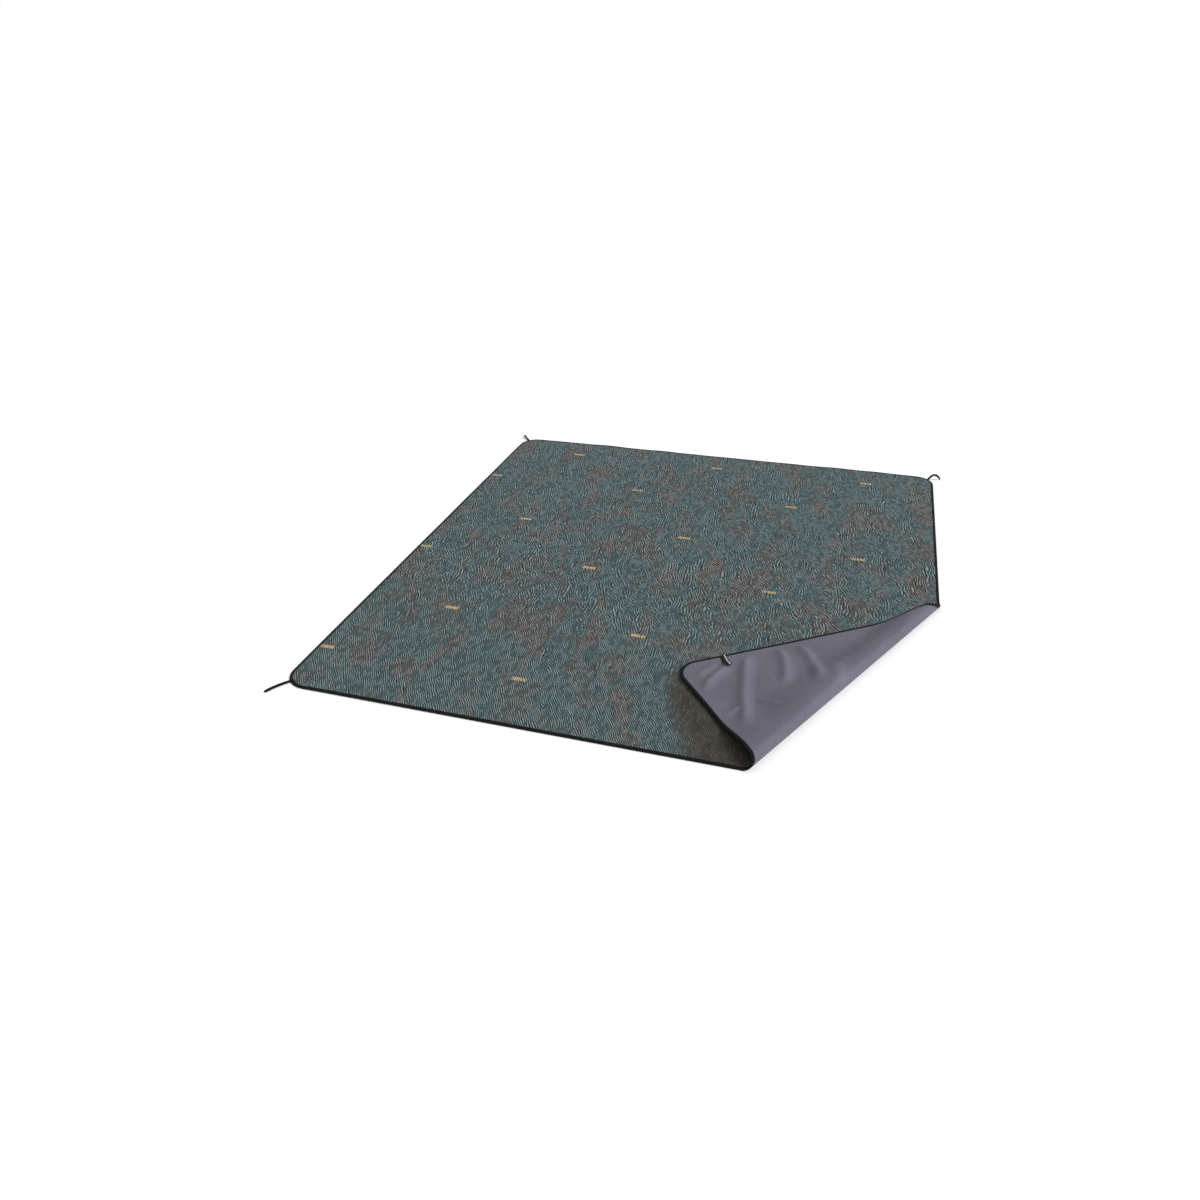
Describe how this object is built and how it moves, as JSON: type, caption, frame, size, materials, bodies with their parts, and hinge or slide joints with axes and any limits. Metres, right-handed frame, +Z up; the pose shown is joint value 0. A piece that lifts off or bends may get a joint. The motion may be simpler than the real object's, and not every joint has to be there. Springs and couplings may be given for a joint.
{
  "type": "camp blanket",
  "caption": "Padded ground blanket with a fleece top and coated backing, bound edges, elastic peg loops at the corners, and one corner folded over.",
  "frame": {"origin": "centre of the opened blanket's rectangle, on the ground under the backing", "axes": "+X to the right across the 2.0 m width, +Y to the back along the 2.2 m length, +Z up through the thickness; the folded corner is at +X, -Y"},
  "size_m": [2.0812, 2.2846, 0.0527],
  "materials": {
    "fleece": "matt mottled teal and rose-brown pile",
    "padding": "matt open-cell foam sheet",
    "backing": "smooth satin coated weave",
    "binding": "matt woven tape",
    "cord": "matt braided elastic cord",
    "side_tape": "woven tape with a pale stripe"
  },
  "bodies": {
    "blanket": {"top_fleece": "fleece", "padding": "padding", "backing": "backing", "edge_binding": "binding"},
    "fold": {"top_fleece_fold": "fleece", "padding_fold": "padding", "backing_fold": "backing", "edge_binding_fold_front": "binding", "edge_binding_fold_side": "binding"},
    "corner": {"top_fleece_corner": "fleece", "padding_corner": "padding", "backing_corner": "backing", "edge_binding_corner_front": "binding", "edge_binding_corner_side": "binding"},
    "corner_tip": {"top_fleece_tip": "fleece", "padding_tip": "padding", "backing_tip": "backing", "edge_binding_tip": "binding"},
    "front_left_loop": {"peg_loop_front_left": "cord"},
    "back_left_loop": {"peg_loop_back_left": "cord"},
    "back_right_loop": {"peg_loop_back_right": "cord"},
    "front_right_loop": {"peg_loop_front_right": "cord"},
    "side_loop": {"side_loop": "side_tape"}
  },
  "joints": [
    {"name": "corner_fold", "type": "hinge", "parent": "blanket", "child": "fold", "pos_m": [0.467, -1.1, 0.007], "axis": [0.4557, 0.8901, 0], "range_deg": [0, 90]},
    {"name": "corner_turn", "type": "hinge", "parent": "fold", "child": "corner", "pos_m": [0.467, -1.1, 0.046], "axis": [0.4557, 0.8901, -0.0034], "range_deg": [0, 102]},
    {"name": "tip_turn", "type": "hinge", "parent": "corner", "child": "corner_tip", "pos_m": [0.31962, -1.02529, 0.01834], "axis": [0.47, 0.8827, 0], "range_deg": [-12, 0]},
    {"name": "front_left_lift", "type": "hinge", "parent": "blanket", "child": "front_left_loop", "pos_m": [-0.97834, -1.07834, 0.00335], "axis": [-0.788, 0.6157, 0], "range_deg": [0, 90]},
    {"name": "back_left_lift", "type": "hinge", "parent": "blanket", "child": "back_left_loop", "pos_m": [-0.97834, 1.07834, 0.00335], "axis": [0.766, 0.6428, 0], "range_deg": [0, 90]},
    {"name": "back_right_lift", "type": "hinge", "parent": "blanket", "child": "back_right_loop", "pos_m": [0.97834, 1.07834, 0.00335], "axis": [0.5, -0.866, 0], "range_deg": [0, 90]},
    {"name": "front_right_swing", "type": "hinge", "parent": "corner_tip", "child": "front_right_loop", "pos_m": [0.22071, -0.69219, 0.01469], "axis": [0, 0, -1], "range_deg": [-20, 20], "stiffness_Nm_per_rad": 0.002},
    {"name": "side_loop_lift", "type": "hinge", "parent": "corner_tip", "child": "side_loop", "pos_m": [0.32181, -0.5994, 0.01914], "axis": [-0.8091, -0.5877, 0], "range_deg": [0, 175]}
  ],
  "couplings": [
    {"joint": "corner_turn", "follows": "corner_fold", "ratio": 1.1333},
    {"joint": "tip_turn", "follows": "corner_fold", "ratio": -0.13333}
  ]
}
